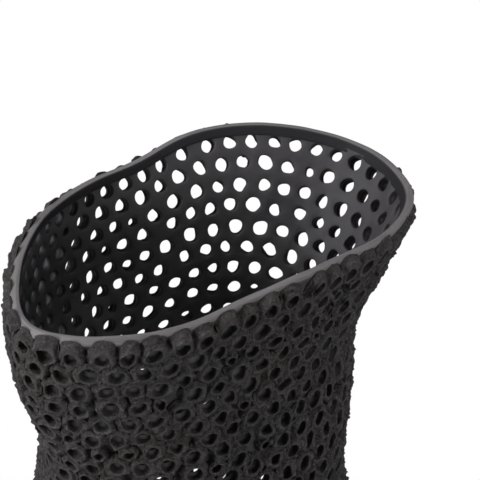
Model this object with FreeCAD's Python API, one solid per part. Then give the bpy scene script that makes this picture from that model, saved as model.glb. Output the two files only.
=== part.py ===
"""Pierced black clay pot, hand-built from coils and covered with applied clay collars.

The pot is a tall free-form vessel. Its mouth is a slanting oval, long from the front left to
the back right, where it flares most; its back stands higher than its front. Its waist is
narrow, and a low belly tucks in to a flat floor. The wall is pierced all
over, row upon row, and every hole is framed outside by a collar: a small ring of clay that
is bedded on the wall with slip and squeezed against its neighbours. A plain smooth band
closes the mouth.

Frame: +Z up, the origin in the middle of the flat underside, +X towards the side that flares
most, +Y towards the high back. Lengths are in millimetres.
"""

import FreeCAD
import Part

import bisect
import math
import os
import random

# ---- driving dimensions -------------------------------------------------------------------
HEIGHT = 300.0  # height of the mouth, were it level
WALL = 5.4  # thickness of the clay wall
FLOOR = 9.0  # thickness of the floor slab
BAND_HEIGHT = 6.0  # the plain band that finishes the mouth
BAND_OUT = 0.6  # how far the band overhangs the wall's outer face
BAND_IN = 1.4  # how far it overhangs the wall's inner face
BAND_CROWN = 1.6  # how far the band's top is rounded up

# The top of the wall, every 22.5 degrees from +X towards +Y: its outer radius and its height.
MOUTH_RADII = (
    152, 184, 190, 164, 138, 119, 115, 115,
    120, 138, 159, 147, 125, 107, 111, 121,
)
MOUTH_HEIGHTS = (
    301, 304, 314, 325, 324, 311, 306, 304,
    304, 293, 281, 283, 287, 293, 301, 301,
)

# Outer radii of the wall at eight levels, towards (+X, +Y, -X, -Y), and how much of the
# mouth's own outline is still felt there. A level is a share of the way up the wall.
LEVELS = (
    # level   +X   +Y   -X   -Y   mouth outline
    (0.00, 98, 88, 100, 88, 0.15),
    (0.15, 118, 104, 122, 104, 0.30),
    (0.30, 112, 98, 119, 99, 0.40),
    (0.42, 114, 94, 113, 97, 0.52),
    (0.55, 115, 95, 110, 99, 0.65),
    (0.70, 115, 102, 121, 105, 0.80),
    (0.85, 132, 116, 125, 114, 0.92),
    (1.00, 152, 138, 120, 125, 1.00),
)
FOLLOW_FROM = 0.06  # level below which the wall's levels lie flat
FOLLOW_BY = 0.75  # level above which they follow the mouth's rise and fall in full

ROWS = 18  # rows of holes, from the mouth down
FIRST_ROW_DROP = 12.6  # from the top of the wall down to the middle of the first row
LAST_ROW_HEIGHT = 25.0  # from the underside to the middle of the last row
PITCH = 18.6  # spacing of the holes along a row
HOLE_RADIUS = 5.5
HOLE_SPREAD = 0.12  # how much the hole sizes vary
SMALL_HOLE_SHARE = 0.08  # share of the holes that are small
SMALL_HOLE = 0.68  # their size beside a usual hole
ROWS_PER_COIL = 2  # each coil of the wall carries this many rows
HOLE_TO_JOINT = 2.0  # clay left between a hole and the joint of two coils

COLLAR_REACH = 1.95  # greatest outer radius of a collar, in hole radii
COLLAR_RISE = 0.98  # height of a collar, in hole radii
COLLAR_FLARE = 1.22  # radius of a collar's mouth, in hole radii
FLARE_SHARE = 0.4  # greatest share of a collar's own width that its flare takes up
MOUTH_HEIGHT = 0.86  # height of the mouth's edge, as a share of the rise
CREST_PLACE = 0.3  # the crest's place between the mouth's edge and the collar's foot
SHOULDER_PLACE = 0.7  # the shoulder's place between the crest and the foot
SHOULDER_HEIGHT = 0.7  # height of the shoulder, as a share of the rise
COLLAR_GAP = 0.15  # between two collars
SLIP = 0.05  # layer of slip under a collar

PIERCE_START = 4.0  # a piercing tool starts this far outside the wall
PIERCE_END = 4.0  # and ends this far inside it
FLOOR_EDGE = 2.5  # softening of the floor slab's lower edge

SEED = 7
SPREAD_ROUNDS = 40  # rounds in which crowded holes push each other apart
TURN_STEPS = 120  # steps in which a turn round the wall is measured
WIRE_POINTS = 48  # points through which a course's edge is drawn


# ---- the wall as a surface ------------------------------------------------------------------
def periodic(values, angle):
    """Smooth closed curve through evenly spaced values, read at an angle in radians."""
    count = len(values)
    place = (angle / (2 * math.pi)) % 1.0 * count
    i = int(place)
    t = place - i
    a, b, c, d = (values[(i + k) % count] for k in (-1, 0, 1, 2))
    return b + 0.5 * t * (c - a + t * (2 * a - 5 * b + 4 * c - d + t * (3 * (b - c) + d - a)))


def along(levels, column, level):
    """Smooth curve through one column of LEVELS, read at a level."""
    last = len(levels) - 1
    i = max(k for k in range(last) if levels[k][0] <= max(level, 0.0))
    lower, upper = levels[i], levels[i + 1]
    span = upper[0] - lower[0]

    def slope(k):
        if k in (0, last):
            near = 1 if k == 0 else last - 1
            return (levels[near][column] - levels[k][column]) / (levels[near][0] - levels[k][0])
        rise = levels[k + 1][column] - levels[k - 1][column]
        return rise / (levels[k + 1][0] - levels[k - 1][0])

    t = (level - lower[0]) / span
    start = slope(i) * span
    end = slope(i + 1) * span
    a, b = lower[column], upper[column]
    return (
        (2 * t**3 - 3 * t**2 + 1) * a
        + (t**3 - 2 * t**2 + t) * start
        + (3 * t**2 - 2 * t**3) * b
        + (t**3 - t**2) * end
    )


def oval(radii, angle):
    """Radius of an oval with its own radius towards each of +X, +Y, -X and -Y."""
    quarter = int(angle / (math.pi / 2)) % 4
    share = math.sin(angle - quarter * math.pi / 2) ** 2
    return radii[quarter] * (1 - share) + radii[(quarter + 1) % 4] * share


def outer_radius(level, angle):
    radii = [along(LEVELS, column, level) for column in (1, 2, 3, 4)]
    character = periodic(MOUTH_RADII, angle) / oval(LEVELS[-1][1:5], angle) - 1
    return oval(radii, angle) * (1 + along(LEVELS, 5, level) * character)


def outside(level, angle):
    """Point on the wall's outer face."""
    angle %= 2 * math.pi
    radius = outer_radius(level, angle)
    t = min(1.0, max(0.0, (level - FOLLOW_FROM) / (FOLLOW_BY - FOLLOW_FROM)))
    follow = t * t * (3 - 2 * t)
    z = HEIGHT * level + (periodic(MOUTH_HEIGHTS, angle) - HEIGHT) * follow
    return FreeCAD.Vector(radius * math.cos(angle), radius * math.sin(angle), z)


def normal(level, angle):
    """Outward normal of the wall's outer face."""
    step_up, step_round = 0.004, 0.01
    up = outside(min(level + step_up, 1.0), angle) - outside(max(level - step_up, 0.0), angle)
    round_ = outside(level, angle + step_round) - outside(level, angle - step_round)
    return round_.cross(up).normalize()


def wall_point(level, angle, depth):
    """Point inside the wall, depth millimetres in from its outer face, on its own level."""
    out = normal(level, angle)
    flat = FreeCAD.Vector(out.x, out.y, 0).normalize()
    return outside(level, angle) - flat * (depth / max(0.5, out.dot(flat)))


# ---- places of the holes --------------------------------------------------------------------
def way_round(level):
    """Distances covered round the wall at one level, after each of a turn's even steps."""
    points = [outside(level, 2 * math.pi * k / TURN_STEPS) for k in range(TURN_STEPS + 1)]
    covered = [0.0]
    for before, after in zip(points, points[1:]):
        covered.append(covered[-1] + before.distanceToPoint(after))
    return covered


def angle_after(covered, distance):
    """Angle reached after a distance round the wall."""
    i = min(bisect.bisect_right(covered, distance), TURN_STEPS) - 1
    share = (distance - covered[i]) / (covered[i + 1] - covered[i])
    return 2 * math.pi * (i + share) / TURN_STEPS


class Hole:
    """A hole with its collar: row, level and angle on the wall, and the hole's radius."""

    def __init__(self, row, level, angle, radius):
        self.row = row
        self.level = level
        self.angle = angle
        self.radius = radius
        self.place()

    def place(self):
        self.point = outside(self.level, self.angle)


def row_levels():
    """Level of each row's middle, from the mouth down."""
    top = 1 - FIRST_ROW_DROP / HEIGHT
    bottom = LAST_ROW_HEIGHT / HEIGHT
    return [top + (bottom - top) * k / (ROWS - 1) for k in range(ROWS)]


def coil_joints(levels):
    """Levels at which two coils of the wall meet, from the mouth down."""
    return [
        (levels[k - 1] + levels[k]) / 2
        for k in range(ROWS_PER_COIL, ROWS - 1, ROWS_PER_COIL)
    ]


def lay_out_holes(levels, joints):
    """Staggered rows of holes, loosened at random and then pushed apart where crowded."""
    chance = random.Random(SEED)
    holes = []
    for row, level in enumerate(levels):
        covered = way_round(level)
        count = round(covered[-1] / PITCH)
        start = chance.random()
        wander = 0.0 if row == 0 else 0.22
        for k in range(count):
            size = 1 + HOLE_SPREAD * (2 * chance.random() - 1)
            if row > 0 and chance.random() < SMALL_HOLE_SHARE:
                size *= SMALL_HOLE
            turn = (k + start + 0.5 * (row % 2) + 0.3 * (chance.random() - 0.5)) / count
            angle = angle_after(covered, turn % 1.0 * covered[-1])
            up = wander * (chance.random() - 0.5) * (levels[0] - levels[1])
            holes.append(Hole(row, level + up, angle, HOLE_RADIUS * size))
    near_rows = [[h for h in holes if abs(h.row - row) < 2] for row in range(ROWS)]
    for _ in range(SPREAD_ROUNDS):
        for hole in holes:
            push_apart(hole, near_rows[hole.row])
        for hole in holes:
            keep_in_course(hole, levels, joints)
            hole.place()
    return holes


def push_apart(hole, others):
    """Moves a hole a little away from those that stand closer than a pitch."""
    here = hole.point
    away = FreeCAD.Vector()
    for other in others:
        if other is hole:
            continue
        gap = here - other.point
        distance = gap.Length
        want = PITCH * 0.5 * (hole.radius + other.radius) / HOLE_RADIUS
        if distance < want:
            away += gap * (0.25 * (want - distance) / distance)
    radius = math.hypot(here.x, here.y)
    around = FreeCAD.Vector(-here.y / radius, here.x / radius, 0)
    hole.angle += away.dot(around) / radius
    if hole.row > 0:
        hole.level += away.z / HEIGHT


def keep_in_course(hole, levels, joints):
    """Keeps a hole clear of the joints between coils, the band and the floor."""
    room = (hole.radius + HOLE_TO_JOINT) / HEIGHT
    edges = [1 - BAND_HEIGHT / HEIGHT] + joints + [FLOOR / HEIGHT]
    above = min(e for e in edges if e > levels[hole.row])
    below = max(e for e in edges if e < levels[hole.row])
    if hole.row > 0:
        hole.level = min(max(hole.level, below + room), above - room)


# ---- solids ---------------------------------------------------------------------------------
def closed_wire(points):
    curve = Part.BSplineCurve()
    curve.interpolate(Points=points, PeriodicFlag=True)
    return Part.Wire([curve.toShape()])


def ring_wire(level, depth, lift=0.0):
    """Closed edge round the wall at one level and depth, raised by lift."""
    up = FreeCAD.Vector(0, 0, lift)
    turns = (2 * math.pi * k / WIRE_POINTS for k in range(WIRE_POINTS))
    return closed_wire([wall_point(level, angle, depth) + up for angle in turns])


def solid_from_rings(skins):
    """Solid whose skin is a loop of lofts. Each skin is a list of wires to loft through."""
    faces = []
    for wires in skins:
        faces += Part.makeLoft(wires, False, len(wires) == 2).Faces
    shell = Part.makeShell(faces)
    shell.sewShape()
    solid = Part.Solid(shell)
    if solid.Volume < 0:
        solid.reverse()
    return solid


def wall_coil(top, bottom, holes):
    """One coil of the wall, pulled up to an even thickness between two levels and pierced."""
    steps = (bottom, (top + bottom) / 2, top)
    outer = [ring_wire(level, 0) for level in steps]
    inner = [ring_wire(level, WALL) for level in steps]
    coil = solid_from_rings([outer, [outer[-1], inner[-1]], inner, [inner[0], outer[0]]])
    piercings = []
    for hole in holes:
        if bottom < hole.level < top:
            out = normal(hole.level, hole.angle)
            start = hole.point + out * PIERCE_START
            length = PIERCE_START + WALL + PIERCE_END
            piercings.append(Part.makeCylinder(hole.radius, length, start, -out))
    return coil.cut(piercings)


def floor_slab():
    """Flat slab that closes the bottom, with its lower edge softened."""
    wires = [
        ring_wire(0, FLOOR_EDGE),
        ring_wire(FLOOR_EDGE / HEIGHT, 0),
        ring_wire(FLOOR / HEIGHT, 0),
    ]
    return Part.makeLoft(wires, True, True)


def mouth_band():
    """Smooth band on the wall's top edge, overhanging both its faces and rounded on top."""
    bottom = 1 - BAND_HEIGHT / HEIGHT
    outer, inner = -BAND_OUT, WALL + BAND_IN
    outer_foot, inner_foot = ring_wire(bottom, outer), ring_wire(bottom, inner)
    outer_top, inner_top = ring_wire(1, outer), ring_wire(1, inner)
    crown = ring_wire(1, (outer + inner) / 2, BAND_CROWN)
    return solid_from_rings(
        [
            [outer_foot, outer_top],
            [outer_top, crown, inner_top],
            [inner_top, inner_foot],
            [inner_foot, outer_foot],
        ]
    )


def collar(hole, others):
    """Domed ring of clay round a hole, bedded on the wall's outer face."""
    bore = hole.radius
    reach = COLLAR_REACH * bore
    for other in others:
        if other is not hole:
            distance = hole.point.distanceToPoint(other.point)
            share = bore / (bore + other.radius)
            reach = min(reach, distance * share - COLLAR_GAP / 2)
    rise = COLLAR_RISE * bore
    mouth = min(COLLAR_FLARE * bore, bore + FLARE_SHARE * (reach - bore))
    crest = mouth + (reach - mouth) * CREST_PLACE
    corners = [
        FreeCAD.Vector(bore, 0, 0),
        FreeCAD.Vector(mouth, 0, rise * MOUTH_HEIGHT),
        FreeCAD.Vector(crest, 0, rise),
        FreeCAD.Vector(crest + (reach - crest) * SHOULDER_PLACE, 0, rise * SHOULDER_HEIGHT),
        FreeCAD.Vector(reach, 0, 0),
    ]
    outline = Part.makePolygon(corners + corners[:1])
    dome = Part.Face(outline).revolve(FreeCAD.Vector(), FreeCAD.Vector(0, 0, 1), 360)
    if dome.Volume < 0:
        dome.reverse()
    out = normal(hole.level, hole.angle)
    seat = hole.point + out * bed_height(hole, reach, out)
    dome.Placement = FreeCAD.Placement(seat, FreeCAD.Rotation(FreeCAD.Vector(0, 0, 1), out))
    return dome


def bed_height(hole, reach, out):
    """How far a collar's flat foot stands off the wall, so that it clears every hollow."""
    highest = 0.0
    radius = math.hypot(hole.point.x, hole.point.y)
    for k in range(16):
        turn = 2 * math.pi * k / 16
        level = min(1.0, hole.level + reach * math.sin(turn) / HEIGHT)
        angle = hole.angle + reach * math.cos(turn) / radius
        highest = max(highest, (outside(level, angle) - hole.point).dot(out))
    return highest + SLIP


# ---- the pot --------------------------------------------------------------------------------
def main():
    levels = row_levels()
    joints = coil_joints(levels)
    holes = lay_out_holes(levels, joints)
    parts = {"floor_slab": floor_slab(), "mouth_band": mouth_band()}

    edges = [1 - BAND_HEIGHT / HEIGHT] + joints + [FLOOR / HEIGHT]
    for number, (bottom, top) in enumerate(zip(reversed(edges), reversed(edges[:-1])), 1):
        parts[f"wall_coil_{number}"] = wall_coil(top, bottom, holes)

    for row in range(ROWS):
        near = [h for h in holes if abs(h.row - row) < 2]
        collars = [collar(hole, near) for hole in holes if hole.row == row]
        parts[f"collar_row_{row + 1:02d}"] = Part.makeCompound(collars)

    os.makedirs("parts", exist_ok=True)
    for name, shape in parts.items():
        shape.exportStep(os.path.join("parts", name + ".step"))


main()
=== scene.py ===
"""Looks of the pierced black clay pot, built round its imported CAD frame.

The wall's outer face is read back from the frame's solids as a smooth function of the
direction and the height. Every visible piece is then laid out on that surface: the coils
with their soft-edged holes, the irregular clay collars that are squeezed against each other
round those holes, the smooth band of the mouth and the floor.

Lengths are in metres, in the frame's own axes: +Z up, -Y towards the viewer.
"""
import itertools
import math

import bpy
import numpy as np
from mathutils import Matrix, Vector
from mathutils.geometry import delaunay_2d_cdt


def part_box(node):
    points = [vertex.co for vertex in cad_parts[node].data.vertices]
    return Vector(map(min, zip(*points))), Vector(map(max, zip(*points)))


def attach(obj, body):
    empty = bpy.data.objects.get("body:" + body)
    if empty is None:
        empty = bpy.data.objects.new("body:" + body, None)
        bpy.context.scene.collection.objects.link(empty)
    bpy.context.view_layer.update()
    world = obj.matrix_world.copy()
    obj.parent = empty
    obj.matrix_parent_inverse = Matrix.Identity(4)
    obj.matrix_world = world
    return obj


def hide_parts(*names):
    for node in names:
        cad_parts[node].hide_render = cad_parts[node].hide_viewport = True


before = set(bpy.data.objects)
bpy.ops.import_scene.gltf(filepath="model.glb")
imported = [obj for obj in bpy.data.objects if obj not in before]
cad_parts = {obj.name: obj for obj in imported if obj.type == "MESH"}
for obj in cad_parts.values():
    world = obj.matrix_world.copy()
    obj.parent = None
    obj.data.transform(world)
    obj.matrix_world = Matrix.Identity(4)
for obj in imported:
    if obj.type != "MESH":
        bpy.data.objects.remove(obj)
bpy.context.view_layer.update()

MM = 0.001
WELD = 0.001 * MM  # vertices closer than this count as one

COILS = sorted(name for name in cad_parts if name.startswith("wall_coil_"))
ROWS = sorted(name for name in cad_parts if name.startswith("collar_row_"))

# seeds of the random draws, and of the noises for each kind of unevenness
SEED = 11
WALL_BUMPS, CREASED_PATCHES, SEAM_DIPS, BULGES, CRUMBS = 40, 60, 70, 80, 90
STROKES, BAND_DENTS, FLOOR_DENTS = 120, 130, 140
FOLD_SHIFTS, FOLDS, WRINKLE_SHIFT, WRINKLES = (300, 310, 320), 330, 340, 350
DRIFTS = (400, 410, 420)


# ---- small tools ----------------------------------------------------------------------------
def node_vertices(name):
    """Vertices of a node of the frame, as an array of points."""
    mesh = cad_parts[name].data
    points = np.empty(len(mesh.vertices) * 3)
    mesh.vertices.foreach_get("co", points)
    return points.reshape(-1, 3)


def node_edges(name):
    """Edges of a node of the frame, as pairs of vertex numbers."""
    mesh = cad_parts[name].data
    ends = np.empty(len(mesh.edges) * 2, np.int32)
    mesh.edges.foreach_get("vertices", ends)
    return ends.reshape(-1, 2)


def loose_parts(points, edges):
    """Index arrays of the vertices of each loose part. Vertices in one place count as one."""
    _, same = np.unique(np.round(points / WELD).astype(np.int64), axis=0, return_inverse=True)
    same = same.reshape(-1)
    ends = same[edges]
    label = np.arange(same.max() + 1)
    while True:
        lowest = np.minimum(label[ends[:, 0]], label[ends[:, 1]])
        new = label.copy()
        np.minimum.at(new, ends[:, 0], lowest)
        np.minimum.at(new, ends[:, 1], lowest)
        new = new[new]
        if np.array_equal(new, label):
            break
        label = new
    owner = label[same]
    return [np.flatnonzero(owner == part) for part in np.unique(owner)]


def unit(vectors):
    """The same directions at length 1."""
    return vectors / np.linalg.norm(vectors, axis=-1, keepdims=True)


def value_noise(points, seed):
    """Smooth noise from -1 to 1 at points given in units of the noise's lumps."""
    cell = np.floor(points).astype(np.int64)
    t = points - cell
    t = t * t * (3 - 2 * t)
    total = np.zeros(points.shape[:-1])
    for corner in itertools.product((0, 1), repeat=3):
        key = cell + np.array(corner)
        mixed = key[..., 0] * 73856093 ^ key[..., 1] * 19349663 ^ key[..., 2] * 83492791
        mixed = (mixed ^ (seed * 2654435761)) & 0xFFFFFFFF
        mixed = ((mixed ^ (mixed >> 16)) * 73244475) & 0xFFFFFFFF
        mixed = ((mixed ^ (mixed >> 16)) * 73244475) & 0xFFFFFFFF
        height = ((mixed >> 8) & 0xFFFF) / 32767.5 - 1
        weight = np.prod(np.where(np.array(corner) == 1, t, 1 - t), axis=-1)
        total += weight * height
    return total


def lumps(points, size, octaves, seed):
    """Layers of noise on points in metres. size is the width of the largest lumps."""
    total = 0.0
    for layer in range(octaves):
        total = total + value_noise(points * (2**layer / size), seed + layer) * 0.5**layer
    return total


def shifts(points, size, octaves, seeds):
    """Noise with a part along each of the three axes."""
    return np.stack([lumps(points, size, octaves, seed) for seed in seeds], axis=-1)


def smooth_step(low, high, value):
    """Goes softly from 0 at low to 1 at high. low may be the greater of the two."""
    t = np.clip((value - low) / (high - low), 0, 1)
    return t * t * (3 - 2 * t)


SHARP_EDGE = math.radians(65)


def add_mesh(name, points, faces, material, replaced, fields=None):
    """A closed piece from points and arrays of faces, riding on the pot's one body."""
    mesh = bpy.data.meshes.new(name)
    mesh.vertices.add(len(points))
    mesh.vertices.foreach_set("co", np.asarray(points, np.float32).ravel())
    corners = np.concatenate([block.ravel() for block in faces]).astype(np.int32)
    sizes = np.concatenate([np.full(len(block), block.shape[1]) for block in faces])
    mesh.loops.add(len(corners))
    mesh.loops.foreach_set("vertex_index", corners)
    mesh.polygons.add(len(sizes))
    starts = np.concatenate([[0], np.cumsum(sizes)[:-1]]).astype(np.int32)
    mesh.polygons.foreach_set("loop_start", starts)
    mesh.update(calc_edges=True)
    mesh.polygons.foreach_set("use_smooth", np.ones(len(sizes), bool))
    mesh.set_sharp_from_angle(angle=SHARP_EDGE)
    for field, values in (fields or {}).items():
        layer = mesh.attributes.new(field, "FLOAT", "POINT")
        layer.data.foreach_set("value", np.asarray(values, np.float32).ravel())
    mesh.materials.append(material)
    piece = bpy.data.objects.new(name, mesh)
    bpy.context.scene.collection.objects.link(piece)
    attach(piece, "root")
    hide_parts(*replaced)
    return piece


# ---- the wall's outer face, read back from the coils ----------------------------------------
WAVES = 14  # waves round the pot that the fit can follow
BENDS = 15  # bends up the wall that it can follow
GRID_ROUND = 720
GRID_UP = 420
REACH_UP = 1.05  # the surface is tabulated up to this share of the height of the last coil
MOST_POINTS = 24000  # points of the outer face that the fit looks at
FACES_OUT = 0.7  # least cosine between an outer triangle and the direction away from the axis
LONG_LOOP = 100 * MM  # a coil's edge is longer than this both ways, a hole's outline is not
SLAB_RIM = 80 * MM  # points of the slab that are farther out belong to its side
SLAB_FOOT = 2 * MM  # points of the slab that are lower belong to its underside
NEAR_TOP = 0.97  # from here to the top the surface's slope is taken and carried on upwards


def waves(theta):
    """Terms of a Fourier series of the direction."""
    turns = theta[:, None] * np.arange(1, WAVES + 1)
    return np.hstack([np.ones((len(theta), 1)), np.cos(turns), np.sin(turns)])


def bends(share):
    """Terms of a Chebyshev series of the share of the height."""
    return np.polynomial.chebyshev.chebvander(2 * share / REACH_UP - 1, BENDS)


def outer_triangles(name):
    """Points of a coil, and its triangles that face away from the pot's axis."""
    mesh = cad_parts[name].data
    mesh.calc_loop_triangles()
    corners = np.empty(len(mesh.loop_triangles) * 3, np.int32)
    mesh.loop_triangles.foreach_get("vertices", corners)
    corners = corners.reshape(-1, 3)
    points = node_vertices(name)
    a, b, c = (points[corners[:, k]] for k in range(3))
    out = unit((a + b + c) * (1, 1, 0))
    keep = (unit(np.cross(b - a, c - a) + 1e-15) * out).sum(axis=1) > FACES_OUT
    return points, corners[keep]


def edge_loops(points, corners):
    """The lower and the upper edge of a coil's outer face, as arrays of points."""
    _, first, same = np.unique(
        np.round(points / WELD).astype(np.int64), axis=0, return_index=True, return_inverse=True
    )
    places = points[first]
    ends = same.reshape(-1)[corners][:, [0, 1, 1, 2, 2, 0]].reshape(-1, 2)
    ends, count = np.unique(np.sort(ends, axis=1), axis=0, return_counts=True)
    rim = ends[count == 1]
    parts = [part for part in loose_parts(places, rim) if len(part) > 1]
    long_loops = [part for part in parts if np.ptp(places[part, :2], axis=0).min() > LONG_LOOP]
    long_loops.sort(key=lambda part: places[part, 2].mean())
    return places[long_loops[0]], places[long_loops[-1]]


def fit_heights(loop):
    """Height of a loop as waves of the direction."""
    theta = np.arctan2(loop[:, 1], loop[:, 0])
    return np.linalg.lstsq(waves(theta), loop[:, 2], rcond=1e-6)[0]


class Wall:
    """The wall's outer face over (direction, height), with the joints between its coils."""

    def __init__(self):
        joints, outer = [], []
        for name in COILS:
            points, corners = outer_triangles(name)
            lower, upper = edge_loops(points, corners)
            joints += [fit_heights(lower)] if name == COILS[0] else []
            joints.append(fit_heights(upper))
            outer.append(points[np.unique(corners)])
        slab = node_vertices("floor_slab")
        side = (slab[:, 2] > SLAB_FOOT) & (np.hypot(slab[:, 0], slab[:, 1]) > SLAB_RIM)
        outer.append(slab[side])
        self.joints = np.array(joints)
        outer = np.vstack(outer)
        outer = outer[:: len(outer) // MOST_POINTS + 1]
        theta = np.arctan2(outer[:, 1], outer[:, 0])
        radius = np.hypot(outer[:, 0], outer[:, 1])
        top = waves(theta) @ self.joints[-1]
        ring, rise = waves(theta), bends(outer[:, 2] / top)
        basis = (ring[:, :, None] * rise[:, None, :]).reshape(len(theta), -1)
        fit = np.linalg.lstsq(basis, radius, rcond=1e-6)[0]
        self.tabulate(fit.reshape(ring.shape[1], rise.shape[1]))

    def tabulate(self, fit):
        """Points and normals of the surface on an even grid of directions and heights."""
        theta = np.arange(GRID_ROUND) * 2 * math.pi / GRID_ROUND
        share = np.linspace(0, REACH_UP, GRID_UP)
        inside = np.minimum(share, 1.0)
        radius = waves(theta) @ fit @ bends(inside).T
        near_top = waves(theta) @ fit @ bends(np.array((NEAR_TOP, 1.0))).T
        slope = (near_top[:, 1:] - near_top[:, :1]) / (1.0 - NEAR_TOP)
        radius += slope * (share - inside)
        height = (waves(theta) @ self.joints[-1])[:, None] * share
        points = np.stack(
            [radius * np.cos(theta)[:, None], radius * np.sin(theta)[:, None], height], axis=-1
        )
        along = np.roll(points, -1, axis=0) - np.roll(points, 1, axis=0)
        up = np.gradient(points, axis=1)
        self.points = points
        self.normals = unit(np.cross(along, up))

    def joint_height(self, theta, joint):
        """Height of a joint between coils. joint counts from 0 and may lie between two."""
        shape = np.shape(theta)
        heights = waves(np.ravel(theta)) @ self.joints.T
        place = np.clip(np.ravel(np.broadcast_to(joint, shape)), 0, len(COILS))
        below = np.minimum(place.astype(int), len(COILS) - 1)
        index = np.arange(len(place))
        low, high = heights[index, below], heights[index, below + 1]
        return (low + (high - low) * (place - below)).reshape(shape)

    def at(self, theta, height):
        """Point and outward normal of the outer face."""
        top = (waves(np.ravel(theta)) @ self.joints[-1]).reshape(np.shape(theta))
        i = (theta / (2 * math.pi) % 1.0) * GRID_ROUND
        j = np.clip(height / top / REACH_UP, 0, 0.9999) * (GRID_UP - 1)
        i0, j0 = i.astype(int), j.astype(int)
        ti, tj = (i - i0)[..., None], (j - j0)[..., None]
        i0, i1 = i0 % GRID_ROUND, (i0 + 1) % GRID_ROUND

        def blend(table):
            low = table[i0, j0] * (1 - ti) + table[i1, j0] * ti
            high = table[i0, j0 + 1] * (1 - ti) + table[i1, j0 + 1] * ti
            return low * (1 - tj) + high * tj

        return blend(self.points), unit(blend(self.normals))

    def near(self, places):
        """Point and normal of the outer face in the direction and at the height of places."""
        return self.at(np.arctan2(places[..., 1], places[..., 0]), places[..., 2])


# ---- the holes and their collars, read back from the collar rows ----------------------------
HOLE_POINTS = 22
HOLE_PHI = np.arange(HOLE_POINTS) * 2 * math.pi / HOLE_POINTS


class Holes:
    """Centre on the wall, axis, tangents, radius and row of every hole."""

    def __init__(self, wall):
        centres, radii, rows = [], [], []
        for row, name in enumerate(ROWS):
            points, edges = node_vertices(name), node_edges(name)
            for part in loose_parts(points, edges):
                centre, radius = self.measure(points[part], wall)
                centres.append(centre)
                radii.append(radius)
                rows.append(row)
        self.centre, self.axis = wall.near(np.array(centres))
        self.radius = np.array(radii)
        self.row = np.array(rows)
        level_out = unit(self.axis * (1, 1, 0))
        self.side = np.stack(
            [-level_out[:, 1], level_out[:, 0], np.zeros(len(level_out))], axis=-1
        )
        self.up = np.cross(self.axis, self.side)
        self.count = len(self.radius)
        self.shape = outline_waves(self.count)
        self.cap = CAP * self.radius * np.where(self.row == 0, FIRST_ROW, 1.0)
        self.reach = collar_reach(self, HOLE_PHI)

    @staticmethod
    def measure(points, wall):
        """Centre of a collar's foot and the radius of its bore."""
        out = wall.near(points.mean(axis=0)[None])[1][0]
        side = unit(np.array((-out[1], out[0], 0.0)))
        up = np.cross(out, side)
        middle = np.zeros(3)
        for direction in (side, up):
            reach = points @ direction
            middle += direction * (reach.max() + reach.min()) / 2
        away = points - middle
        away -= np.outer(away @ out, out)
        return middle + out * (points @ out).min(), np.linalg.norm(away, axis=1).min()

    def outline(self, phi):
        """Shape of every hole's outline: a share of its radius for each direction phi."""
        total = np.ones((self.count, len(phi)))
        for waves_round, (size, turn) in self.shape.items():
            total += size[:, None] * np.cos(waves_round * (phi[None, :] - turn[:, None]))
        return total

    def ring(self, phi, radius):
        """Points on rings round the holes, in each hole's tangent plane."""
        return (
            self.centre[:, None]
            + (radius * np.cos(phi))[..., None] * self.side[:, None]
            + (radius * np.sin(phi))[..., None] * self.up[:, None]
        )


def outline_waves(count):
    """Sizes and turns of the waves that make each hole's outline irregular."""
    chance = np.random.default_rng(SEED)
    return {
        2: (chance.uniform(0.01, 0.10, count), chance.uniform(0, 2 * math.pi, count)),
        3: (chance.uniform(0.00, 0.06, count), chance.uniform(0, 2 * math.pi, count)),
        4: (chance.uniform(0.00, 0.03, count), chance.uniform(0, 2 * math.pi, count)),
    }


# ---- coils of the wall ----------------------------------------------------------------------
WALL = 5.4 * MM
HOLE_SOFT = 0.9 * MM  # rounding of a hole's edge inside the pot
HOLE_FLARE = 0.2 * MM  # how much wider a hole is in the outer face
HOLE_STEPS = (  # widening and depth of a hole's rings, from the inner face out
    (0.3 * HOLE_SOFT, WALL - 0.3 * HOLE_SOFT),
    (0.0, WALL - HOLE_SOFT),
    (-0.15 * HOLE_SOFT, WALL * 0.45),
    (0.0, 0.3 * MM),
)
HOLE_TO_SEAM = 0.7 * MM  # least distance from a hole's edge to its collar's seam
HOLE_TO_JOINT = 0.5 * MM  # least distance from a hole's edge to a coil's edge
COIL_POINTS = 260  # points round a coil's edge
GRAIN = 4.2 * MM  # spacing of the free points on a coil
LINE_PITCH = 0.87 * GRAIN  # distance between the lines of free points
LINE_POINTS = 181  # points at which a coil is measured round
CLEAR = 1.4 * MM  # how far free points keep from a hole of ordinary width
CLEAR_SHARE = 1.14  # how much of a hole's radius is left free besides
UNEVEN = 0.35 * MM  # how uneven the inner face is
BUMP_SIZE = 28 * MM


def wall_depth_points(wall, theta, height, depth):
    """Points inside the wall below given places of its outer face."""
    point, out = wall.at(theta, height)
    depth = np.broadcast_to(depth, point.shape[:-1])[..., None]
    inner = point - out * depth
    bumps = lumps(inner, BUMP_SIZE, 3, WALL_BUMPS)[..., None] * UNEVEN
    return inner - out * bumps * (depth / WALL)


def hole_loop(wall, holes, chosen, widen, coil):
    """Directions and heights of the outlines of chosen holes, widened, kept inside the coil."""
    radius = holes.radius[:, None] * holes.outline(HOLE_PHI) + widen
    radius = np.minimum(radius, holes.reach - HOLE_TO_SEAM)
    ring = holes.ring(HOLE_PHI, radius)[chosen]
    theta = np.arctan2(ring[..., 1], ring[..., 0])
    low = wall.joint_height(theta, coil) + HOLE_TO_JOINT
    high = wall.joint_height(theta, coil + 1) - HOLE_TO_JOINT
    return theta, np.clip(ring[..., 2], low, high)


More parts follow.
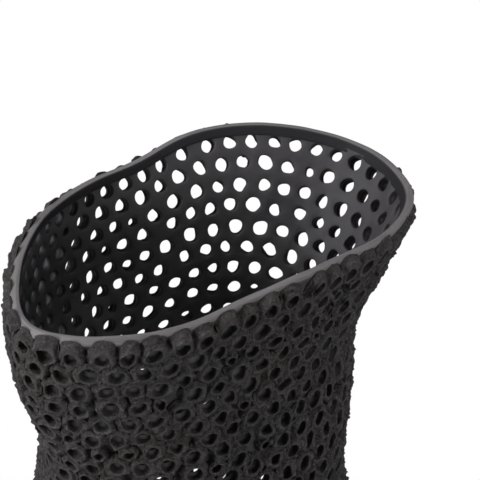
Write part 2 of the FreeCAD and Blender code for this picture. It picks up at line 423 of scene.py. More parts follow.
def free_points(wall, holes, chosen, coil):
    """Evenly spread points of a coil that keep clear of its holes and edges."""
    chance = np.random.default_rng(SEED + coil)
    theta = np.linspace(0, 2 * math.pi, LINE_POINTS)
    middle = wall.at(theta, wall.joint_height(theta, coil + 0.5))[0]
    length = np.linalg.norm(np.diff(middle, axis=0), axis=1).sum()
    tall = np.mean(wall.joint_height(theta, coil + 1) - wall.joint_height(theta, coil))
    lines = max(2, round(tall / LINE_PITCH))
    around = round(length / GRAIN)
    spots = []
    for line in range(1, lines):
        turn = (np.arange(around) + 0.5 * (line % 2) + chance.uniform(-0.2, 0.2, around)) / around
        share = np.full(around, line / lines) + chance.uniform(-0.1, 0.1, around) / lines
        spots.append(np.stack([turn * 2 * math.pi, share], axis=1))
    spots = np.vstack(spots)
    place = wall.at(spots[:, 0], wall.joint_height(spots[:, 0], coil + spots[:, 1]))[0]
    gap = np.linalg.norm(place[:, None] - holes.centre[chosen][None], axis=-1)
    gap = (gap - holes.radius[chosen] * CLEAR_SHARE).min(axis=1)
    return spots[gap > HOLE_SOFT + CLEAR]


def flat_place(theta, share):
    """Place in a flat ring that stands for a coil: its lower edge is the inner circle."""
    radius = 1.0 + 0.3 * share
    return np.stack([radius * np.cos(theta), radius * np.sin(theta)], axis=-1)


def coil_triangles(theta, share, loops):
    """Triangles between a coil's edges and holes. loops are index arrays, both edges first.

    Triangles with all their corners on one loop fill a hole or the space inside the lower edge,
    so they are left out. On the upper edge, which is the outer circle, they belong to the coil.
    """
    flat = flat_place(theta, share)
    edges = [(int(a), int(b)) for loop in loops for a, b in zip(loop, np.roll(loop, -1))]
    result = delaunay_2d_cdt([Vector(p) for p in flat], edges, [], 0, 1e-7)
    source = np.array([origin[0] for origin in result[3]])
    triangles = source[np.array(result[2])]
    owner = np.full(len(theta), -1)
    for number, loop in enumerate(loops):
        owner[loop] = number
    owners = owner[triangles]
    upper_edge = 1
    inside = (owners[:, 0] == owners[:, 1]) & (owners[:, 1] == owners[:, 2])
    inside &= (owners[:, 0] >= 0) & (owners[:, 0] != upper_edge)
    return triangles[~inside]


def coil_holes(wall, holes, coil):
    """Numbers of the holes whose centres lie in a coil."""
    theta = np.arctan2(holes.centre[:, 1], holes.centre[:, 0])
    height = holes.centre[:, 2]
    above = height > wall.joint_height(theta, coil)
    below = height < wall.joint_height(theta, coil + 1)
    return np.flatnonzero(above & below)


def coil_net(wall, holes, chosen, coil):
    """Directions, shares of the coil's height, outlines of the holes and the triangles."""
    edge = np.arange(COIL_POINTS) * 2 * math.pi / COIL_POINTS
    spots = free_points(wall, holes, chosen, coil)
    hole_theta, hole_height = hole_loop(wall, holes, chosen, HOLE_SOFT, coil)
    foot = wall.joint_height(hole_theta, coil)
    hole_share = (hole_height - foot) / (wall.joint_height(hole_theta, coil + 1) - foot)
    theta = np.concatenate([edge, edge, hole_theta.ravel(), spots[:, 0]])
    share = np.concatenate(
        [np.zeros(COIL_POINTS), np.ones(COIL_POINTS), hole_share.ravel(), spots[:, 1]]
    )
    lower = np.arange(COIL_POINTS)
    rings = 2 * COIL_POINTS + np.arange(hole_theta.size).reshape(hole_theta.shape)
    return theta, share, rings, coil_triangles(theta, share, [lower, COIL_POINTS + lower, *rings])


def strip(first, second):
    """Quads between two sets of closed rings, given as index arrays of rings by points."""
    after_first, after_second = np.roll(first, -1, axis=1), np.roll(second, -1, axis=1)
    return np.stack([first, after_first, after_second, second], axis=-1).reshape(-1, 4)


def build_coil(wall, holes, coil, material):
    """One coil as a closed skin: inner face, outer face, hole walls and the two joint faces."""
    name = COILS[coil]
    chosen = coil_holes(wall, holes, coil)
    theta, share, rings, triangles = coil_net(wall, holes, chosen, coil)
    count = len(theta)
    height = wall.joint_height(theta, coil + share)
    skins = [wall_depth_points(wall, theta, height, WALL)]
    theta[rings], height[rings] = hole_loop(wall, holes, chosen, HOLE_FLARE, coil)
    skins.append(wall_depth_points(wall, theta, height, 0.0))
    layers = [rings]
    for widen, depth in HOLE_STEPS:
        layers.append(sum(map(len, skins)) + np.arange(rings.size).reshape(rings.shape))
        bore_theta, bore_height = hole_loop(wall, holes, chosen, widen, coil)
        skins.append(wall_depth_points(wall, bore_theta, bore_height, depth).reshape(-1, 3))
    layers.append(count + rings)

    points = np.vstack(skins)
    faces = [triangles, count + triangles[:, ::-1]]
    faces += [strip(outside, inside) for inside, outside in zip(layers, layers[1:])]
    lower = np.arange(COIL_POINTS)[None]
    upper = COIL_POINTS + lower
    faces += [strip(count + upper, upper), strip(lower, count + lower)]
    # Mask of painted shade: every point off the inner face, so the holes' walls come out dark.
    inside = (np.arange(len(points)) >= count) * 1.0
    return add_mesh(
        name.replace("wall", "clay"), points, faces, material, [name],
        {"inside": inside},
    )


# ---- collars --------------------------------------------------------------------------------
TURNS = 40  # points round a collar
BORE_RINGS = (0.0, 0.3, 0.6, 0.88)  # rings up the bore, as shares of the collar's height
TOP_RINGS = 13  # rings from the mouth's edge over the crest to the seam with the neighbours
CAP = 2.02  # greatest reach of a collar with no neighbour, in hole radii
FIRST_ROW = 1.06  # how much larger the collars of the first row are
HOOD = 0.24  # how much further up the collars of the first row reach, as a share
NEIGHBOUR = 45 * MM  # collars that are farther off do not touch
LEAST_FACING = 0.05  # cosine that stands for directions away from a neighbour
CORNERS = (14, 24)  # how sharp the corners between three collars are
SEAM = 0.05 * MM  # half the width of the seam between two collars
SEAM_HEIGHT = 5.0 * MM  # usual height of the seam over the wall
FOOT = 0.02 * MM  # how far a collar's foot stands off the wall
LOWEST = 0.3 * MM  # least height of a collar's edge, which no roughness moves
LIP = 1.5 * MM  # least distance from a mouth's edge to the seam
RISE = (5.0, 6.4)  # height of the crest over the wall, mm
DRIFT = 1.9 * MM  # how far the clay is pushed along the wall, collars and seams together
DRIFT_SIZE = 9 * MM
DRIFT_RINGS = len(BORE_RINGS) + 5  # rings from the bore's foot to the full drift
BULGE, BULGE_SIZE = 0.55, 8 * MM  # heights in mm, sizes in metres
CRUMB_SIZE = 2.4 * MM
FOLD_SIZE = 4.2 * MM
WRINKLE, WRINKLE_PITCH = 0.75, 1.25 * MM
WHOLE_TURN = 6.28  # radians


def collar_reach(holes, phi):
    """How far each collar reaches in each direction, limited by its neighbours."""
    chance = np.random.default_rng(SEED + 100)
    sharpness = chance.uniform(*CORNERS, holes.count)
    hood = HOOD * np.maximum(np.sin(phi), 0) ** 2
    reach = np.empty((holes.count, len(phi)))
    for i in range(holes.count):
        away = holes.centre - holes.centre[i]
        near = np.flatnonzero(np.linalg.norm(away, axis=1) < NEIGHBOUR)
        near = near[near != i]
        across, along = away[near] @ holes.side[i], away[near] @ holes.up[i]
        distance = np.hypot(across, along)
        share = holes.radius[i] / (holes.radius[i] + holes.radius[near])
        facing = np.cos(phi[:, None] - np.arctan2(along, across)[None])
        limit = distance * share / np.maximum(facing, LEAST_FACING)
        cap = holes.cap[i] * (1 + hood * (holes.row[i] == 0))
        limit = np.hstack([limit, cap[:, None]])
        p = sharpness[i]
        reach[i] = (limit**-p).sum(axis=1) ** (-1 / p) - SEAM
    return reach


class Collars:
    """Skins of all the collars as one array: collars by directions by rings by xyz."""

    def __init__(self, wall, holes):
        self.holes = holes
        self.wall = wall
        self.first_row = holes.row[:, None] == 0
        self.chance = np.random.default_rng(SEED + 200)
        self.phi = np.arange(TURNS) * 2 * math.pi / TURNS
        self.reach = collar_reach(holes, self.phi)
        self.creased = self.crease_share()
        self.points, self.fields = self.skin()

    def crease_share(self):
        """0 for the full, smooth-lipped collars, 1 for the creased ones low on the right."""
        centre = self.holes.centre
        right = smooth_step(-40 * MM, 90 * MM, centre[:, 0])
        low = smooth_step(0.5, 8, self.holes.row.astype(float))
        patch = 0.5 + 0.5 * lumps(centre, 60 * MM, 2, CREASED_PATCHES)
        return np.clip(0.1 + 0.6 * right * low + 0.4 * low * patch, 0, 1)

    def draw(self, low, high):
        return self.chance.uniform(low, high, (self.holes.count, 1))

    def mouth(self):
        """Outline of every collar's mouth: a dented oval that leans to one side."""
        holes, phi, creased = self.holes, self.phi, self.creased[:, None]
        size = self.draw(0.90, 1.08) * (1 - creased) + self.draw(0.80, 1.10) * creased
        lean = 1.2 + self.draw(-0.9, 0.9)
        oval = 1 + (self.draw(0.0, 0.10) + 0.09 * creased) * np.cos(2 * (phi - lean))
        dent = 1 + self.draw(0.0, 0.05) * np.cos(3 * (phi - self.draw(0, WHOLE_TURN)))
        hooded = np.where(self.first_row, 0.09, self.draw(-0.04, 0.12))
        dent = dent - hooded * np.sin(phi)
        mouth = holes.radius[:, None] * holes.outline(phi) * size * oval * dent
        return np.minimum(mouth, self.reach - LIP)

    def crest_height(self):
        """Height of the ring's crest, tilted and uneven round the hole."""
        tilt = self.draw(0.0, 0.14) * np.cos(self.phi - self.draw(0.6, 2.6))
        uneven = self.draw(0.0, 0.07) * np.cos(3 * (self.phi - self.draw(0, WHOLE_TURN)))
        rise = self.draw(*RISE) * MM * (1 + tilt + uneven)
        return rise * np.where(self.first_row, FIRST_ROW, 1.0)

    def seam(self, rise):
        """Height of the seam with the neighbours: dipping here and there, low where free."""
        ring = self.holes.ring(self.phi, self.reach)
        free = smooth_step(0.90, 0.99, self.reach / self.holes.cap[:, None])
        height = SEAM_HEIGHT - 0.6 * MM * (1 - self.creased[:, None])
        height = height + 2.2 * MM * lumps(ring, 9 * MM, 2, SEAM_DIPS)
        height = height * (1 - 0.8 * free)
        return np.clip(height, LOWEST, rise * 0.97)

    def skin(self):
        """Rings up the bore, over the crest, down to the seam and in to the foot."""
        reach = self.reach
        mouth = self.mouth()
        bore = self.holes.radius[:, None] * self.holes.outline(self.phi)
        rise = self.crest_height()
        seam = self.seam(rise)
        crest = self.draw(0.20, 0.45)
        lip = BORE_RINGS[-1]

        across = [bore + (mouth - bore) * (share / lip) for share in BORE_RINGS]
        height = [rise * share for share in BORE_RINGS]
        top = np.arange(1, TOP_RINGS + 1) / TOP_RINGS
        for share in top:
            over = np.clip(share / crest, 0, 1)
            past = np.clip((share - crest) / (1 - crest), 0, 1)
            edge = lip + (1 - lip) * np.sin(over * math.pi / 2) ** 0.6
            across.append(mouth + (reach - mouth) * share)
            height.append(seam + (rise * edge - seam) * np.cos(past * math.pi / 2) ** 2)
        across, height = np.stack([*across, reach], axis=-1), np.stack(height, axis=-1)
        height = np.concatenate([height, np.full((*reach.shape, 1), FOOT)], axis=-1)
        points, normal = self.place(across, height)
        points, raised = self.roughen(points, normal, across, height)

        bores = len(BORE_RINGS)
        # Mask of the painted highlight round each mouth, strongest a fifth of the way from the mouth
        # to the seam.
        rim = np.concatenate([np.zeros(bores), np.maximum(0, 1 - abs(top - 0.2) * 3), [0]])
        # Mask of the painted shade down the bore's rings.
        inside = (np.arange(across.shape[2]) < bores) * 1.0
        fields = {
            "rim": np.broadcast_to(rim, across.shape),
            "inside": np.broadcast_to(inside, across.shape),
            # How far the clay was pushed out, in mm; the material paints shade where it is sunk and
            # highlights where it stands out.
            "raised": raised / MM,
        }
        return points, fields

    def place(self, across, height):
        """Bends the collars onto the wall. The axis turns into the wall's own normal outwards."""
        holes = self.holes
        phi = self.phi[None, :, None]
        flat = (
            holes.centre[:, None, None]
            + (across * np.cos(phi))[..., None] * holes.side[:, None, None]
            + (across * np.sin(phi))[..., None] * holes.up[:, None, None]
        )
        foot, out = self.wall.near(flat)
        drift = shifts(foot, DRIFT_SIZE, 2, DRIFTS)
        drift -= out * (drift * out).sum(axis=-1, keepdims=True)
        start = np.clip(np.arange(across.shape[2]) / DRIFT_RINGS, 0, 1)
        foot = foot + drift * start[:, None] * DRIFT
        turned = np.clip(across / self.reach[..., None], 0, 1)[..., None] ** 2
        direction = unit(holes.axis[:, None, None] * (1 - turned) + out * turned)
        return foot + direction * height[..., None], out

    def outwards(self, points, normal, across):
        """Where the skin is pushed to: along its own normal, by the seams along the wall's."""
        along = np.roll(points, -1, axis=1) - np.roll(points, 1, axis=1)
        own = np.cross(np.gradient(points, axis=2), along)
        own /= np.linalg.norm(own, axis=-1, keepdims=True) + 1e-12
        by_seam = smooth_step(0.55, 0.95, across / self.reach[..., None])[..., None]
        return unit(own * (1 - by_seam) + normal * by_seam)

    def folds(self, points):
        """Winding ridges with creases between them."""
        warped = points + 2.5 * MM * shifts(points, 8 * MM, 1, FOLD_SHIFTS)
        return 0.5 - 2 * np.abs(lumps(warped, FOLD_SIZE, 1, FOLDS))

    def wrinkles(self, points, across):
        """Fine rings round the mouths, which fade out at the seams."""
        phi = self.phi[None, :, None]
        number = np.arange(self.holes.count)[:, None, None]
        shift = 0.8 * lumps(points, 6 * MM, 1, WRINKLE_SHIFT)
        place = np.stack(
            [
                1.5 * np.cos(phi) + 9.7 * number + 0 * across,
                1.5 * np.sin(phi) + 0 * across,
                across / WRINKLE_PITCH + shift,
            ],
            axis=-1,
        )
        fade = 1 - np.clip(across / self.reach[..., None], 0, 1) ** 6
        return value_noise(place, WRINKLES) * WRINKLE * fade

    def roughen(self, points, normal, across, height):
        """Lumps of hand-pressed clay, folds, crumbs and wrinkles round the mouths."""
        bores = len(BORE_RINGS)
        top = smooth_step(bores - 1, bores + 3, np.arange(points.shape[2]) * 1.0)
        creased = self.creased[:, None, None]
        bulge = lumps(points, BULGE_SIZE, 2, BULGES) * BULGE
        crumbs = lumps(points, CRUMB_SIZE, 2, CRUMBS) * (0.60 + 0.40 * creased)
        folds = self.folds(points) * (0.60 + 0.85 * creased)
        change = bulge * (0.3 + 0.7 * top)
        change = change + (crumbs + folds + self.wrinkles(points, across)) * top
        change = change * MM * smooth_step(LOWEST, 2.0 * MM, height)
        return points + self.outwards(points, normal, across) * change[..., None], change


def build_collar_row(collars, row, material):
    """The collars of one row as one piece, each a closed skin."""
    chosen = np.flatnonzero(collars.holes.row == row)
    points = collars.points[chosen]
    rings = points.shape[2]
    index = np.arange(len(chosen) * TURNS * rings).reshape(-1, TURNS, rings)
    faces = []
    for ring in range(rings):
        faces.append(strip(index[:, :, ring], index[:, :, (ring + 1) % rings])[:, ::-1])
    fields = {name: values[chosen] for name, values in collars.fields.items()}
    name = f"collars_{row + 1:02d}"
    return add_mesh(
        name, points.reshape(-1, 3), faces, material, [ROWS[row]], fields
    )


# ---- the band of the mouth and the floor ----------------------------------------------------
BAND_TURNS = 900  # points round the band
BAND_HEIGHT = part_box("mouth_band")[1].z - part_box(COILS[-1])[1].z
BAND_CROWN = 1.6 * MM  # least height of the band's rounded top
BAND_SHOULDER = 0.78  # where the rounding starts, as a share of the height below the crown
CROWN_STEPS = 25  # points over the rounded top
BAND_OUT = 0.6 * MM  # how far the band overhangs the wall's outer face
BAND_IN = 1.3 * MM  # how far it overhangs the inner face
BAND_WIDTH = BAND_OUT + WALL + BAND_IN
BAND_TURNED = math.radians(222)  # where its top is rolled outwards the most
BAND_ROLL = 0.58  # how far down its outer edge is rolled there, as a share
ROLLED = 0.72 * WALL  # how far in from the outer face the roll reaches
STROKE_WIDTH = 0.75 * MM  # width of the brush's strokes along the band
STROKES_ROUND = 1.96  # how many strokes follow one another in a radian of the mouth
STROKE_DEPTH = 0.07 * MM
BAND_DENT = 0.30 * MM


def band_profile():
    """Closed outline of the band: (depth from the outer face, height over its foot)."""
    inner = WALL + BAND_IN
    middle, half = (inner - BAND_OUT) / 2, BAND_WIDTH / 2
    shoulder = (BAND_HEIGHT - BAND_CROWN) * BAND_SHOULDER
    outline = [(-BAND_OUT, 0.0), (-BAND_OUT, shoulder * 0.4), (-BAND_OUT, shoulder * 0.8)]
    for turn in np.linspace(0, math.pi, CROWN_STEPS):
        across = math.copysign(abs(math.cos(turn)) ** 0.75, math.cos(turn))
        over = math.sin(turn) ** 0.5
        outline.append((middle - half * across, shoulder + (BAND_HEIGHT - shoulder) * over))
    outline += [(inner, shoulder * 0.7), (inner, shoulder * 0.35), (inner - 0.1 * MM, 0.35 * MM)]
    outline += [(inner - 0.45 * MM, 0.0), (WALL * 0.5, 0.0)]
    return np.array(outline)


def band_shade(profile):
    """1 on the band's inner face, nearly 1 low on its outer face, 0 on its top."""
    within = smooth_step(0.78, 0.98, profile[:, 0] / (WALL + BAND_IN))
    below = 0.8 * smooth_step(0.62, 0.42, profile[:, 1] / BAND_HEIGHT)
    return np.maximum(within, below * (profile[:, 0] < WALL / 4))


def band_roughness(points, profile, across, theta):
    """How far the band's skin stands out: flat dents and the strokes of a wet brush."""
    round_at = np.stack([np.cos(theta), np.sin(theta)], axis=1) * STROKES_ROUND
    strokes = np.empty(points.shape[:2])
    for k, width in enumerate(across):
        where = np.column_stack([round_at, np.full(len(theta), width / STROKE_WIDTH)])
        strokes[:, k] = value_noise(where, STROKES)
    dents = lumps(points, 22 * MM, 2, BAND_DENTS) * BAND_DENT
    lift = smooth_step(0.5 * MM, 3 * MM, profile[:, 1])
    return (dents + strokes * STROKE_DEPTH) * lift


def build_band(wall, material):
    """The smooth band, swept round the mouth on top of the last coil."""
    profile = band_profile()
    theta = np.arange(BAND_TURNS) * 2 * math.pi / BAND_TURNS
    foot = wall.joint_height(theta, len(COILS))
    point, out = wall.at(theta[:, None], foot[:, None] + np.zeros(len(profile)))
    level_out = unit(out * (1, 1, 0))
    lean = (wall.at(theta, foot + BAND_HEIGHT)[0] - wall.at(theta, foot)[0]) / BAND_HEIGHT
    roll = BAND_ROLL * np.clip(1 - (profile[:, 0] + BAND_OUT) / ROLLED, 0, 1)
    turned = smooth_step(0.5, 0.95, np.cos(theta - BAND_TURNED))[:, None]
    height = profile[:, 1] * (1 - roll * turned)
    points = point - level_out * profile[:, 0, None] + lean[:, None] * height[..., None]
    across = np.cumsum(np.hypot(*np.diff(profile, axis=0, prepend=profile[:1]).T))
    push = band_roughness(points, profile, across, theta)
    middle = point - level_out * (WALL / 2) + lean[:, None] * BAND_HEIGHT * 0.4
    points = points + unit(points - middle) * push[..., None]
    index = np.arange(points.shape[0] * points.shape[1]).reshape(points.shape[:2]).T[:, None]
    faces = [strip(ring, after) for ring, after in zip(index, np.roll(index, -1, axis=0))]
    fields = {
        "across": np.broadcast_to(across / MM, points.shape[:2]),
        "inside": np.broadcast_to(band_shade(profile), points.shape[:2]),
    }
    return add_mesh(
        "lip_band", points.reshape(-1, 3), faces, material, ["mouth_band"], fields
    )


FLOOR_TURNS = 160  # points round the floor
FLOOR_SOFT = 2.5 * MM  # rounding of the floor's lower edge
FLOOR_MIDDLE = 0.04  # radius of the innermost ring, as a share of the floor's radius
FLOOR_DENT = 0.3 * MM


def build_floor(wall, material):
    """The floor slab: flat below, softened round its lower edge, a little uneven on top."""
    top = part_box("floor_slab")[1].z
    theta = np.arange(FLOOR_TURNS) * 2 * math.pi / FLOOR_TURNS
    foot = wall.at(theta, np.zeros(FLOOR_TURNS))[0] * (1, 1, 0)
    rings = [foot * share for share in (FLOOR_MIDDLE, 0.3, 0.6, 0.85)]
    for turn in np.linspace(0, math.pi / 2, 6):
        height = FLOOR_SOFT * (1 - math.cos(turn))
        point, out = wall.at(theta, np.full(FLOOR_TURNS, height))
        rings.append(point - unit(out * (1, 1, 0)) * FLOOR_SOFT * (1 - math.sin(turn)))
    for height in (top * 0.6, top):
        rings.append(wall.at(theta, np.full(FLOOR_TURNS, height))[0])
    rim = rings[-1]
    for share in (0.9, 0.8, 0.65, 0.5, 0.35, 0.2, FLOOR_MIDDLE):
        ring = rim * (share, share, 1)
        ring[:, 2] += lumps(ring, 30 * MM, 2, FLOOR_DENTS) * FLOOR_DENT * (share < 0.85)
        rings.append(ring)
    points = np.array(rings)
    index = np.arange(points.shape[0] * points.shape[1]).reshape(points.shape[:2])
    faces = [strip(ring[None], after[None]) for ring, after in zip(index, index[1:])]
    faces += [index[0][None, ::-1], index[-1][None]]
    return add_mesh(
        "clay_floor", points.reshape(-1, 3), faces, material, ["floor_slab"]
    )


# ---- black clay -----------------------------------------------------------------------------
class Nodes:
    """Short names for building a material's nodes."""

    def __init__(self, name):
        self.material = bpy.data.materials.new(name)
        self.material.use_nodes = True
        self.tree = self.material.node_tree
        self.shader = self.tree.nodes["Principled BSDF"]

    def link(self, source, target):
        self.tree.links.new(source, target)

    def put(self, socket, value):
        """Links the socket to another node's output, or sets it to a number."""
        if isinstance(value, bpy.types.NodeSocket):
            self.link(value, socket)
        else:
            socket.default_value = value

    def place(self):
        """Place on the piece, in metres."""
        return self.tree.nodes.new("ShaderNodeTexCoord").outputs["Object"]

    def field(self, name):
        """Number that the piece's mesh carries at each of its points."""
        node = self.tree.nodes.new("ShaderNodeAttribute")
        node.attribute_name = name
        return node.outputs["Fac"]

    def noise(self, vector, scale, detail=3.0, rough=0.55, kind="FBM"):
        node = self.tree.nodes.new("ShaderNodeTexNoise")
        node.noise_type = kind
        self.put(node.inputs["Vector"], vector)
        node.inputs["Scale"].default_value = scale
        node.inputs["Detail"].default_value = detail
        node.inputs["Roughness"].default_value = rough
        return node.outputs["Fac"]

    def ramp(self, value, low, high, start=0.0, end=1.0):
        """Goes softly from start to end while value goes from low to high."""
        node = self.tree.nodes.new("ShaderNodeMapRange")
        node.interpolation_type = "SMOOTHSTEP"
        self.put(node.inputs["Value"], value)
        self.put(node.inputs["From Min"], low)
        self.put(node.inputs["From Max"], high)
        self.put(node.inputs["To Min"], start)
        self.put(node.inputs["To Max"], end)
        return node.outputs["Result"]

    def math(self, operation, first, second):
        node = self.tree.nodes.new("ShaderNodeMath")
        node.operation = operation
        self.put(node.inputs[0], first)
        self.put(node.inputs[1], second)
        return node.outputs[0]

    def mix(self, share, first, second):
        """First colour at share 0, second at 1. A colour is a node's output or three numbers."""
        node = self.tree.nodes.new("ShaderNodeMix")
        node.data_type = "RGBA"
        self.put(node.inputs["Factor"], share)
        sockets = [socket for socket in node.inputs if socket.type == "RGBA"]
        for socket, value in zip(sockets, (first, second)):
            value = value if isinstance(value, bpy.types.NodeSocket) else (*value, 1.0)
            self.put(socket, value)
        return next(socket for socket in node.outputs if socket.type == "RGBA")

    def bump(self, height, strength, distance, normal=None):
        node = self.tree.nodes.new("ShaderNodeBump")
        self.put(node.inputs["Height"], height)
        node.inputs["Strength"].default_value = strength
        node.inputs["Distance"].default_value = distance
        if normal is not None:
            self.link(normal, node.inputs["Normal"])
        return node.outputs["Normal"]


CLAY, WARM_CLAY = (0.042, 0.039, 0.041), (0.048, 0.043, 0.041)
# Painted shade for the hollows and for the pits between the crumbs.
HOLLOW_SHADE, PIT_SHADE = (0.024, 0.022, 0.023), (0.016, 0.015, 0.016)
# Painted highlights for raised clay, for the mouths' rims and for the ridges of the folds.
RAISED_HIGHLIGHT, RIM_HIGHLIGHT, RIDGE_HIGHLIGHT = (0.100, 0.094, 0.093), (0.120, 0.112, 0.110), (0.140, 0.130, 0.130)
# Painted highlight for the tops of the crumbs.
CRUMB_HIGHLIGHT = (0.140, 0.130, 0.129)
# Painted shade for the bores.
BORE_SHADE = (0.029, 0.027, 0.030)
WALL_DARK, WALL_LIGHT, WALL_SPECK = (0.031, 0.029, 0.032), (0.043, 0.040, 0.043), (0.028, 0.026, 0.028)
BAND_DARK, BAND_LIGHT, BAND_PATCH = (0.088, 0.082, 0.087), (0.140, 0.131, 0.137), (0.094, 0.088, 0.090)
BAND_SHADE = (0.015, 0.014, 0.016)


def collar_clay():
    """Matt, crumbly clay, warmer in patches, with painted highlights where it stands out, on ridges,
    crumbs and round the mouths, and painted shade in its hollows, pits and bores.
    """
    n = Nodes("black_clay_collars")
    place = n.place()
    patches = n.noise(place, 22.0, 3.0)
    folds = n.noise(place, 230.0, 5.0, 0.6, "RIDGED_MULTIFRACTAL")
    crumbs = n.noise(place, 560.0, 4.0, 0.7)
    raised = n.field("raised")
    tone = n.mix(n.ramp(patches, 0.35, 0.65), CLAY, WARM_CLAY)
    # Painted shade: clay sunk below the collar's surface, in creases and dents, is darkened.
    tone = n.mix(n.ramp(raised, -1.3, 0.1, 0.8, 0.0), tone, HOLLOW_SHADE)
    # Painted highlight: clay pushed out above the collar's surface is lightened.
    tone = n.mix(n.ramp(raised, 0.3, 1.1, 0.0, 0.6), tone, RAISED_HIGHLIGHT)
    # Painted highlight on the ridges of the fold noise, which also bumps the surface.
    tone = n.mix(n.ramp(folds, 0.7, 1.4, 0.0, 0.55), tone, RIDGE_HIGHLIGHT)
    # Painted highlight on the tops of the crumbs, which also bump the surface.
    tone = n.mix(n.ramp(crumbs, 0.54, 0.68, 0.0, 0.60), tone, CRUMB_HIGHLIGHT)
    # Painted shade in the pits between the crumbs, at the low points of the noise that bumps them.
    tone = n.mix(n.ramp(crumbs, 0.34, 0.46, 0.80, 0.0), tone, PIT_SHADE)
    # Painted highlight in a thin line round each mouth.
    tone = n.mix(n.math("MULTIPLY", n.field("rim"), 0.28), tone, RIM_HIGHLIGHT)
    # Painted shade down each collar's bore.
    tone = n.mix(n.field("inside"), tone, BORE_SHADE)
    n.put(n.shader.inputs["Base Color"], tone)
    n.put(n.shader.inputs["Roughness"], n.ramp(patches, 0.3, 0.7, 0.72, 0.85))
    n.put(n.shader.inputs["Specular IOR Level"], 0.25)
    coarse = n.bump(folds, 1.0, 0.0022)
    n.put(n.shader.inputs["Normal"], n.bump(crumbs, 1.0, 0.0040, coarse))
    return n.material


def wall_clay():
    """Smoother clay of the inner face, with faint smears and painted shade darkening the bores."""
    n = Nodes("black_clay_wall")
    place = n.place()
    smears = n.noise(place, 35.0, 4.0)
    specks = n.noise(place, 900.0, 2.0)
    tone = n.mix(n.ramp(smears, 0.35, 0.65), WALL_DARK, WALL_LIGHT)
    tone = n.mix(n.ramp(specks, 0.4, 0.7, 0.0, 0.3), tone, WALL_SPECK)
    # Painted shade on the holes' walls and the other faces off the inner face.
    tone = n.mix(n.field("inside"), tone, BORE_SHADE)
    n.put(n.shader.inputs["Base Color"], tone)
    n.put(n.shader.inputs["Roughness"], n.ramp(smears, 0.3, 0.7, 0.58, 0.70))
    n.put(n.shader.inputs["Specular IOR Level"], 0.3)
    coarse = n.bump(n.noise(place, 180.0, 3.0), 0.35, 0.0010)
    n.put(n.shader.inputs["Normal"], n.bump(specks, 0.3, 0.0003, coarse))
    return n.material


def band_clay():
    """The band's clay, wiped along the mouth with a wet brush, darker inside and below."""
    n = Nodes("black_clay_band")
    place = n.place()
    stretch = n.tree.nodes.new("ShaderNodeCombineXYZ")
    parts = n.tree.nodes.new("ShaderNodeSeparateXYZ")
    n.link(place, parts.inputs[0])
    n.put(stretch.inputs[0], n.math("MULTIPLY", parts.outputs[0], 30.0))
    n.put(stretch.inputs[1], n.math("MULTIPLY", parts.outputs[1], 30.0))
    n.put(stretch.inputs[2], n.math("MULTIPLY", n.field("across"), 2.6))
    strokes = n.noise(stretch.outputs[0], 1.0, 3.0, 0.6)
    patches = n.noise(place, 30.0, 3.0)
    tone = n.mix(n.ramp(strokes, 0.3, 0.7), BAND_DARK, BAND_LIGHT)
    tone = n.mix(n.ramp(patches, 0.4, 0.75, 0.0, 0.5), tone, BAND_PATCH)
    tone = n.mix(n.field("inside"), tone, BAND_SHADE)
    n.put(n.shader.inputs["Base Color"], tone)
    n.put(n.shader.inputs["Roughness"], n.ramp(strokes, 0.3, 0.7, 0.5, 0.62))
    n.put(n.shader.inputs["Specular IOR Level"], n.ramp(n.field("inside"), 0.0, 1.0, 0.4, 0.1))
    lines = n.bump(strokes, 0.8, 0.0007)
    n.put(n.shader.inputs["Normal"], n.bump(n.noise(place, 700.0, 2.0), 0.2, 0.0002, lines))
    return n.material


# ---- studio ---------------------------------------------------------------------------------
CAMERA_AT = (0.037, -1.188, 0.873)  # in front and above, looking down by 26 degrees
LOOK_AT = (0.037, -0.020, 0.3036)
LENS = 132.75  # mm, on a sensor of SENSOR mm
SENSOR = 36
SKY = 0.16  # strength of the sky as a light
FLOOR_GREY = (0.25, 0.25, 0.25)  # the floor as a reflector
BELOW_POT = 0.2 * MM  # how far the floor lies under the pot
LIGHTS = {  # place, what it is aimed at, diameter, watts
    "left": ((-1.5, -0.5, 1.2), (0, 0, 0.2), 0.9, 25),
    "right": ((1.5, -0.8, 0.28), (0, 0, 0.2), 0.9, 22),
    "front": ((-1.6, -0.9, 0.45), (0, 0, 0.2), 0.8, 27),
    "top": ((0.1, 0.5, 2.2), (0, 0, 0.3), 1.1, 25),
}


def aim(item, target):
    direction = Vector(target) - item.location
    item.rotation_euler = direction.to_track_quat("-Z", "Y").to_euler()


def add_light(name, place, target, size, power):
    data = bpy.data.lights.new(name, "AREA")
    data.shape = "DISK"
    data.size = size
    data.energy = power
    light = bpy.data.objects.new(name, data)
    light.location = place
    bpy.context.scene.collection.objects.link(light)
    aim(light, target)


def camera_share(tree):
    """1 for what the camera sees directly, 0 for light that shines on something else."""
    return tree.nodes.new("ShaderNodeLightPath").outputs["Is Camera Ray"]


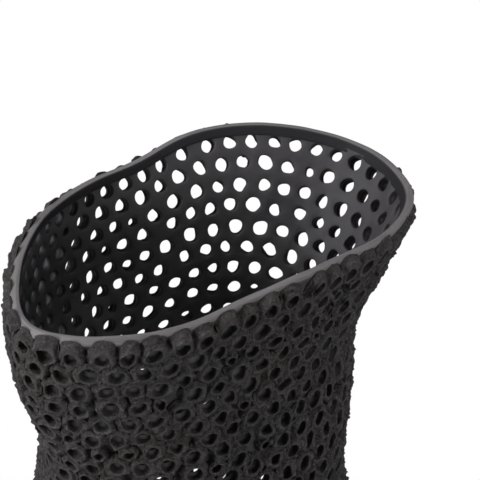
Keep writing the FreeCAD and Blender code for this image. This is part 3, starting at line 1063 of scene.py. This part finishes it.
def build_surroundings(scene):
    """A white sky: bright to the camera, softer as a light."""
    world = bpy.data.worlds.new("studio")
    scene.world = world
    world.use_nodes = True
    tree = world.node_tree
    sky = tree.nodes["Background"]
    sky.inputs["Color"].default_value = (1, 1, 1, 1)
    sky.inputs["Strength"].default_value = SKY
    seen = tree.nodes.new("ShaderNodeBackground")
    seen.inputs["Color"].default_value = (1, 1, 1, 1)
    mix = tree.nodes.new("ShaderNodeMixShader")
    tree.links.new(camera_share(tree), mix.inputs[0])
    tree.links.new(sky.outputs[0], mix.inputs[1])
    tree.links.new(seen.outputs[0], mix.inputs[2])
    tree.links.new(mix.outputs[0], tree.nodes["World Output"].inputs[0])


def build_paper():
    """The pale floor: white to the camera, so that it meets the sky without an edge."""
    bpy.ops.mesh.primitive_plane_add(size=12, location=(0, 0, -BELOW_POT))
    floor = bpy.context.object
    floor.name = "studio_floor"
    material = bpy.data.materials.new("studio_paper")
    material.use_nodes = True
    tree = material.node_tree
    shader = tree.nodes["Principled BSDF"]
    shader.inputs["Base Color"].default_value = (*FLOOR_GREY, 1)
    shader.inputs["Roughness"].default_value = 0.9
    white = tree.nodes.new("ShaderNodeEmission")
    mix = tree.nodes.new("ShaderNodeMixShader")
    tree.links.new(camera_share(tree), mix.inputs[0])
    tree.links.new(shader.outputs[0], mix.inputs[1])
    tree.links.new(white.outputs[0], mix.inputs[2])
    tree.links.new(mix.outputs[0], tree.nodes["Material Output"].inputs[0])
    floor.data.materials.append(material)


def build_camera(scene):
    data = bpy.data.cameras.new("camera")
    data.lens = LENS
    data.sensor_width = SENSOR
    camera = bpy.data.objects.new("camera", data)
    camera.location = CAMERA_AT
    scene.collection.objects.link(camera)
    aim(camera, LOOK_AT)
    scene.camera = camera


def build_studio():
    scene = bpy.context.scene
    scene.view_settings.view_transform = "Standard"
    build_surroundings(scene)
    build_paper()
    for name, setting in LIGHTS.items():
        add_light(name, *setting)
    build_camera(scene)


# ---- the pot --------------------------------------------------------------------------------
def main():
    wall = Wall()
    holes = Holes(wall)
    smooth = wall_clay()
    for coil in range(len(COILS)):
        build_coil(wall, holes, coil, smooth)
    collars = Collars(wall, holes)
    rough = collar_clay()
    for row in range(len(ROWS)):
        build_collar_row(collars, row, rough)
    build_band(wall, band_clay())
    build_floor(wall, smooth)
    build_studio()


main()
